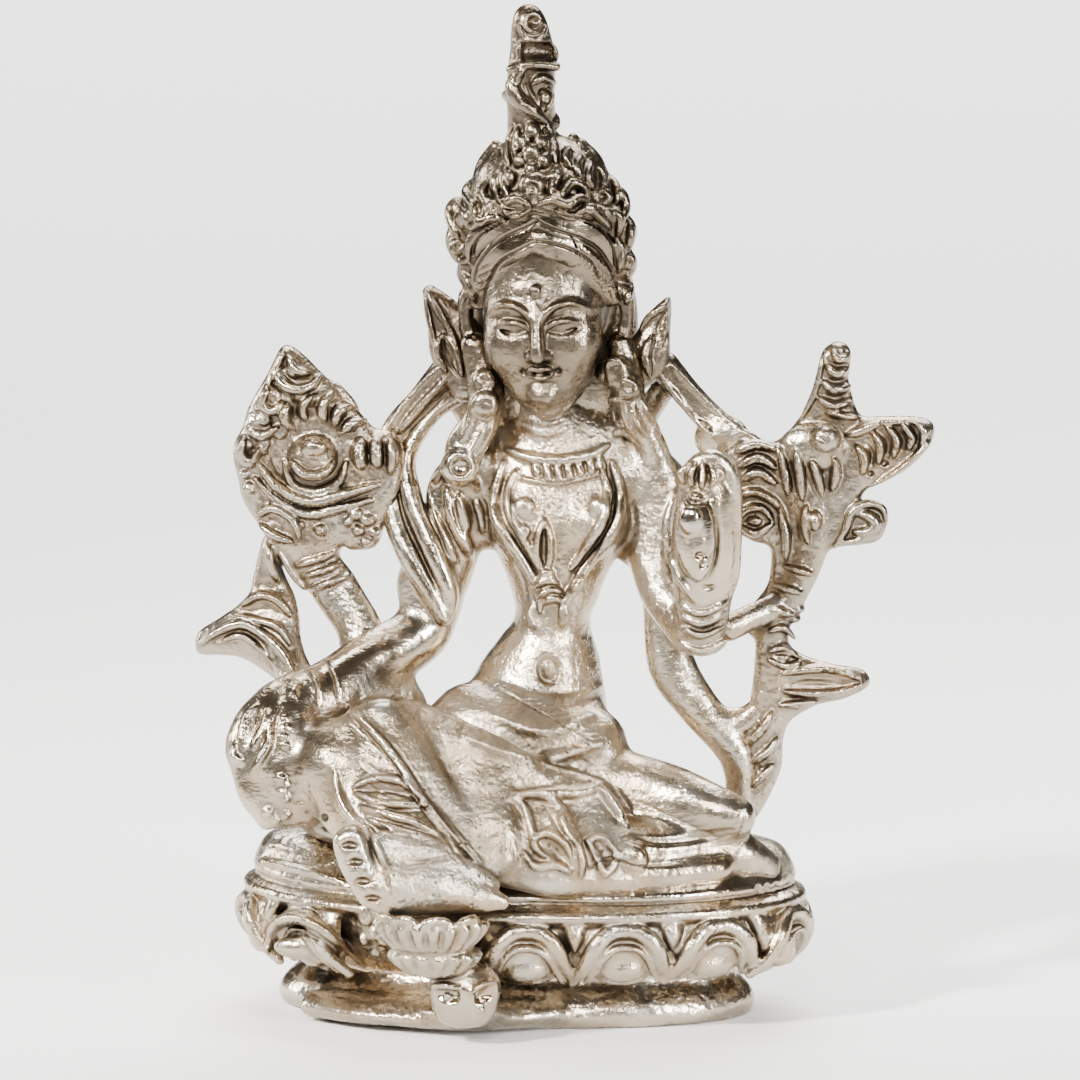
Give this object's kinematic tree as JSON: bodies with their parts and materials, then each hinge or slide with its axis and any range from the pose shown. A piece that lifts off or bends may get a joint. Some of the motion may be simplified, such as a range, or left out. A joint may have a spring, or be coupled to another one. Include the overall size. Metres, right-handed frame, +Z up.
{
  "type": "tara figure",
  "caption": "Small cast silver Tara seated on an oval lotus plinth between two flowering lotus stems, one foot on a lotus footrest.",
  "frame": {"origin": "centre of the plinth's flat underside", "axes": "+Z up through the head to the tip of the topknot; the figure looks along -Y, and its own left hand is towards +X"},
  "size_m": [0.0732, 0.0414, 0.0998],
  "materials": {
    "silver": "bright polished cast silver, darkened in the hollows, pitted where it was not chased"
  },
  "bodies": {
    "root": {"tara_figure": "silver"}
  },
  "joints": []
}
